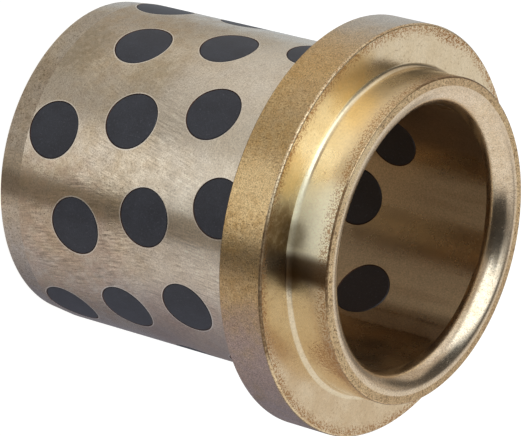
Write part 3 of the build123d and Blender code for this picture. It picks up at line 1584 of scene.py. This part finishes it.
SPIGOT = replace(
    FACE,
    name="turned spigot",
    tarnish_and_painted_light=(
        TarnishAndPaintedLight(Band(Across.HEIGHT, 49.5, 1.7, 1.0), GOLD, 0.35, 3, 0.2, 0.3),
        # painted highlight: a pale streak at -34 degrees
        TarnishAndPaintedLight(Streak(-34, 12, 16), (250, 230, 190), 0.7, 6, 0.05, 0.4),
        # painted highlight: a pale, dull streak at 8 degrees laid over a dark reflection
        TarnishAndPaintedLight(Streak(8, 6, 13), (255, 246, 212), 0.98, 6, 0.05, 0.4, dull=0.8),
        # painted reflections: dark spots at 14 and 29 degrees at the foot of the spigot
        TarnishAndPaintedLight(Spot(14, 19.7, 44.4, 0.8, 1.8), (112, 92, 58), 0.7, 4, 0.1, 0.4),
        TarnishAndPaintedLight(Spot(29, 19.7, 44.4, 0.6, 1.6), (92, 68, 40), 0.8, 4, 0.1, 0.4),
        TarnishAndPaintedLight(Spot(60, 19.7, 49, 2, 5), RUST, 0.75, 0.22, 0.47, 0.1, dull=0.4),
        TarnishAndPaintedLight(Band(Across.HEIGHT, 49.3, 0.4, 3), RUST, 0.8, 0.19, 0.5, 0.08, dull=0.2),
        # painted reflection: a dark streak at 24.5 degrees
        TarnishAndPaintedLight(Streak(24.5, 2, 4.5), (84, 60, 34), 0.94, 4, 0.1, 0.3),
    ),
)
END_FACE = BronzeFinish(
    name="grainy end face",
    tone=(223, 198, 156),
    shade=(200, 169, 124),
    bloom=(209, 184, 145),
    fleck=(120, 88, 60),
    roughness=0.32,
    cloud_size=1.2,
    grain_size=0.22,
    grain_swing=2.4,
    fleck_level=0.53,
    fleck_amount=0.75,
    tarnish_and_painted_light=(
        TarnishAndPaintedLight(Spot(134, 19.2, 49.5, 14, 9), (190, 160, 124), 0.45, 2, 0.3, 0.4),
        TarnishAndPaintedLight(Spot(-80, 19.2, 49.5, 6, 6), TAN, 0.35, 2, 0.3, 0.4),
        # painted highlight: a pale patch at -14 degrees
        TarnishAndPaintedLight(Spot(-14, 19.2, 49.5, 3, 4), (250, 228, 188), 0.75, 2, 0.2, 0.5),
    ),
)
MOUTH = BronzeFinish(
    name="polished mouth",
    tone=(230, 212, 184),
    shade=(212, 188, 154),
    bloom=(224, 207, 184),
    fleck=(128, 102, 76),
    roughness=0.2,
    cloud_size=1.0,
    grain_size=0.18,
    grain_swing=1.3,
    grain_depth=0.003,
    fleck_level=0.57,
    wave_depth=0.004,
    tarnish_and_painted_light=(
        # painted highlight: a pale patch at -30 degrees
        TarnishAndPaintedLight(Spot(-30, 17.6, 49, 4, 4), (244, 228, 202), 0.6, 2, 0.2, 0.5),
    ),
)
# the tint of painted reflections in the bore
PAINTED_SHEEN = (226, 196, 152)
BORE = BronzeFinish(
    name="dry bore",
    tone=(208, 182, 146),
    shade=(197, 170, 132),
    bloom=(203, 177, 141),
    fleck=(130, 100, 72),
    roughness=0.26,
    cloud_amount=0.3,
    grain_size=0.2,
    grain_swing=1.2,
    grain_depth=0.002,
    fleck_amount=0.1,
    lay=Lay.ALONG,
    mark_pitch=0.25,
    mark_length=6.0,
    mark_depth=0.002,
    tarnish_and_painted_light=(
        # painted reflections: pale, dull streaks along the bore at 164, 206 and 144 degrees, and
        # painted shade in a darker streak at 246 degrees
        TarnishAndPaintedLight(Streak(164, 4, 14), PAINTED_SHEEN, 0.45, 1.2, 0.25, 0.6, dull=1.0, stretch=12),
        TarnishAndPaintedLight(Streak(206, 4, 12), PAINTED_SHEEN, 0.4, 1.2, 0.25, 0.6, dull=1.0, stretch=12),
        TarnishAndPaintedLight(Streak(144, 2, 3), (236, 212, 178), 0.6, 3, 0.2, 0.3),
        TarnishAndPaintedLight(Streak(246, 12, 10), (150, 126, 102), 0.85, 3, 0.2, 0.3),
    ),
)
BURNISHED = BronzeFinish(
    name="burnished edges",
    tone=(236, 214, 176),
    shade=(224, 194, 150),
    bloom=(230, 206, 166),
    fleck=(132, 96, 62),
    roughness=0.34,
    grain_size=0.17,
    grain_swing=1.6,
    fleck_level=0.52,
    fleck_amount=0.7,
    tarnish_and_painted_light=(
        # painted shade: the edge darkens round 30 degrees
        TarnishAndPaintedLight(Spot(30, 25, 44, 7, 4), UMBER, 0.85, 0.5, 0.3, 0.3),
        TarnishAndPaintedLight(Spot(-35, 25, 44, 12, 8), RUST, 0.6, 0.24, 0.56, 0.08),
    ),
)
STAINED = replace(
    BURNISHED,
    name="stained edge",
    tone=(226, 198, 156),
    shade=(206, 172, 126),
    bloom=(214, 184, 140),
    fleck=(96, 68, 42),
    cloud_size=0.8,
    tarnish_and_painted_light=(
        TarnishAndPaintedLight(Spot(-84, 19.6, 49.4, 9, 5), UMBER, 0.85, 0.5, 0.3, 0.3),
        TarnishAndPaintedLight(Spot(14, 19.6, 49.4, 6, 4), UMBER, 0.85, 0.5, 0.3, 0.3),
    ),
)
SHADED = BronzeFinish(
    name="shaded edge",
    tone=(96, 74, 52),
    shade=(76, 56, 38),
    bloom=(88, 68, 48),
    fleck=(60, 44, 30),
    roughness=0.5,
)
# painted shade: the dark bevel of each hole stands for the shade in the groove round its plug
SHADED_SEAM = BronzeFinish(
    name="plug seam",
    tone=(92, 64, 52),
    shade=(70, 48, 38),
    bloom=(84, 58, 48),
    fleck=(48, 36, 32),
    roughness=0.55,
)
# painted highlight: a pale ring round each plug
PAINTED_HALO = BronzeFinish(
    name="rubbed ring round each plug",
    tone=(246, 236, 220),
    shade=(232, 216, 194),
    bloom=(236, 224, 208),
    fleck=(180, 158, 130),
    roughness=0.34,
    grain_size=0.2,
    grain_swing=0.9,
    lay=Lay.ALONG,
)
GRAPHITE = GraphiteFinish(
    name="pressed graphite",
    tone=(40, 42, 50),
    shade=(33, 34, 41),
    fleck=(78, 78, 86),
    # painted shade on the plug ends in the bore, darker and warmer
    bore_end_shade=(40, 31, 28),
    shaded_bore_end=Band(Across.RADIUS, 16, 1, 2),
    roughness=0.5,
    cloud_fade=0.2,
    grain_size=0.2,
    grain_swing=1.8,
    grain_depth=0.008,
)
FINISHES = {
    Skin.GROUND: GROUND,
    Skin.TAPER: TAPERED,
    Skin.PLAIN_END: END_FACE,
    Skin.COLLAR_BACK: FACE,
    Skin.COLLAR_RIM: RIM,
    Skin.COLLAR_FACE: FACE,
    Skin.SPIGOT: SPIGOT,
    Skin.END_FACE: END_FACE,
    Skin.MOUTH: MOUTH,
    Skin.BORE: BORE,
    Skin.EDGE: BURNISHED,
    Skin.BACK_EDGE: SHADED,
    Skin.SPIGOT_EDGE: STAINED,
    Skin.HOLE_EDGE: SHADED_SEAM,
    Skin.HOLE_RING: PAINTED_HALO,
}


def grey(level: float, warmth: float, rose: float = 0.0) -> Colour:
    """A near-grey light, warmer or rosier by a share, and cooler by a negative one."""
    return (level * (1 + warmth), level * (1 - rose), level * (1 - warmth))


CARDS = (
    Card("dark roof", 96, 62, 0, 130, 60, 0.3, grey(0.13, 0.1)),
    Card("right wall", 118, 26, 0, 106, 90, 0.16, grey(0.83, 0.03)),
    Card("sky box", -84, 60, 6, 112, 60, 0.26, grey(1.9, -0.08)),
    Card("near wall", -20, 0, 0, 60, 50, 0.6, grey(0.4, 0.14)),
    Card("dark aisle", 31, 30, -8, 48, 104, 0.16, grey(0.035, 0.1)),
    Card("left wall", -135, 14, 0, 92, 84, 0.2, grey(0.49, 0.12)),
    Card("dark corner", -140, 50, 0, 60, 30, 0.4, grey(0.04, 0.1)),
    Card("corner post", -140, 25, 0, 16, 44, 0.6, grey(0.1, 0.1)),
    Card("left shelf", -72, 9, 0, 60, 30, 0.5, grey(0.9, 0.03)),
    Card("back wall", 184, 33, 0, 26, 28, 0.3, grey(0.79, 0.03)),
    Card("back skirting", 193, 4, 0, 32, 24, 0.6, grey(0.2, 0.1)),
    Card("left floor", -76, -20, 0, 122, 32, 0.35, grey(0.82, 0.02)),
    Card("front glow", 6, -29, 0, 38, 26, 0.35, grey(0.94, -0.01)),
    Card("table", 72, -35, 0, 46, 50, 0.2, grey(0.53, 0.03, 0.02)),
    Card("cool table", 110, -35, 0, 34, 50, 0.3, grey(0.45, -0.08, 0.06)),
    Card("cool shade", 152, -35, 0, 52, 50, 0.3, grey(0.22, -0.12, 0.1)),
    Card("paper behind", -158, -35, 0, 34, 50, 0.4, grey(0.6, -0.1)),
    Card("low aisle", 39, -38, 0, 15, 60, 0.35, grey(0.05, 0.2)),
)


def main() -> None:
    """Builds the bushing, then the studio, and reports each piece."""
    logging.basicConfig(level=logging.INFO, format="%(message)s")
    effects = SharedEffects()
    made = {finish: finish.material(effects) for finish in dict.fromkeys(FINISHES.values())}
    pattern = Pattern.from_frame()
    turning = TurnedBody.from_frame(pattern)
    body = turning.build({skin: made[finish] for skin, finish in FINISHES.items()})
    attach(body, BODY)
    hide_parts(BODY_NODE)
    log.info("%s: %d faces", body.name, len(body.data.polygons))

    plugs = PlugSet(pattern, turning).build(GRAPHITE.material(effects))
    for node, plug in plugs.items():
        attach(plug, BODY)
        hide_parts(node)
        log.info("%s: %d faces", plug.name, len(plug.data.polygons))

    Studio(cards=CARDS).build()


if __name__ == "__main__":
    main()
